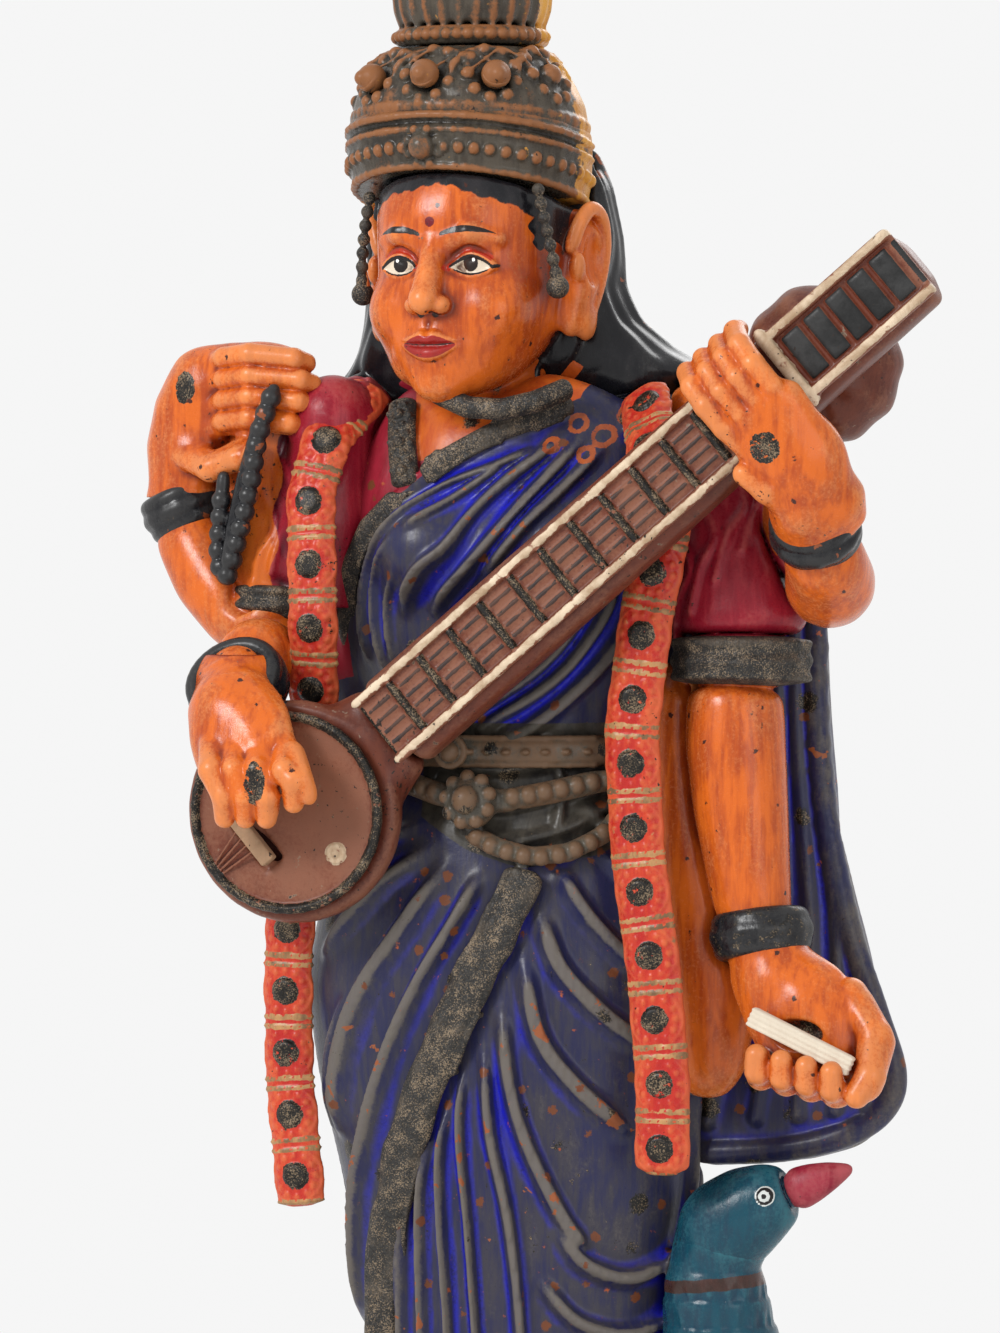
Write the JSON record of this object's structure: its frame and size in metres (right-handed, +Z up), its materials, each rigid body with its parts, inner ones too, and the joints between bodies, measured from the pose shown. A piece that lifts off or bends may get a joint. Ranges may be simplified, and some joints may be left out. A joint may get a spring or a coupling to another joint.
{
  "type": "painted terracotta goddess statue",
  "caption": "Painted clay statue of a standing many-armed goddess in a draped sari, playing a long-necked lute with a gourd, a bird at her side, on a stepped plinth",
  "frame": {"origin": "centre of the whole outline in plan, on the surface the plinth stands on", "axes": "+Z up, the figure faces -Y, her own left side is at +X"},
  "size_m": [0.2788, 0.154, 0.61],
  "materials": {
    "skin": "streaky glossy orange paint over terracotta, worn and chipped",
    "saree": "ultramarine paint, dusty on the ridges, chipped to orange clay",
    "blouse": "deep crimson paint with dark flecks",
    "black": "glossy black paint with grey dust on the ridges",
    "bronze": "bronze brown paint with olive grey dust in the hollows",
    "ochre": "plain ochre paint",
    "garland": "red orange paint with dark flecked rosettes",
    "trim": "black paint with worn bronze flecks",
    "wood": "red brown paint with cream lines",
    "leaf": "off-white paint",
    "teal": "glossy teal blue paint",
    "crimson": "glossy crimson paint",
    "base": "dull maroon paint over terracotta"
  },
  "bodies": {
    "root": {"plinth": "base", "garland_right": "garland", "garland_left": "garland", "choker": "trim", "pendant": "trim", "saree_border_chest": "trim", "waist_belt": "trim", "hip_belt": "trim", "belt_swag": "trim", "saree_border_skirt": "trim", "veena_bridge": "leaf", "veena_soundboard": "wood", "veena_fretboard": "wood", "veena_headstock": "wood", "veena_neck": "wood", "veena_bowl": "wood", "veena_gourd": "wood", "hand_on_neck": "skin", "bangle_rear_right": "black", "bangle_front_right": "black", "bangle_rear_left": "black", "bangle_front_left": "black", "sleeve_trim_right": "trim", "sleeve_trim_left": "trim", "forearm_rear_right": "skin", "forearm_front_right": "skin", "forearm_rear_left": "skin", "arm_rear_left": "skin", "arm_front_left": "skin", "mala_string": "black", "hand_mala": "skin", "hand_strumming": "skin", "palm_leaf_book": "leaf", "hand_scroll": "skin", "sleeve_right": "blouse", "sleeve_left": "blouse", "crown_medallion_1": "bronze", "crown_medallion_2": "bronze", "crown_medallion_3": "bronze", "crown_band": "bronze", "crown_dome": "bronze", "crown_ring": "bronze", "crown_knob": "bronze", "crown_finial": "bronze", "crown_back": "ochre", "ear_chain_right": "trim", "ear_chain_left": "trim", "head": "skin", "neck": "skin", "hair": "black", "bird_beak": "crimson", "bird_head": "teal", "bird_tail": "teal", "bird_body": "teal", "foot_right": "skin", "foot_left": "skin", "arm_web_left": "skin", "pallu_cape": "saree", "body_front_shell": "saree", "body_back_shell": "saree"}
  },
  "joints": []
}
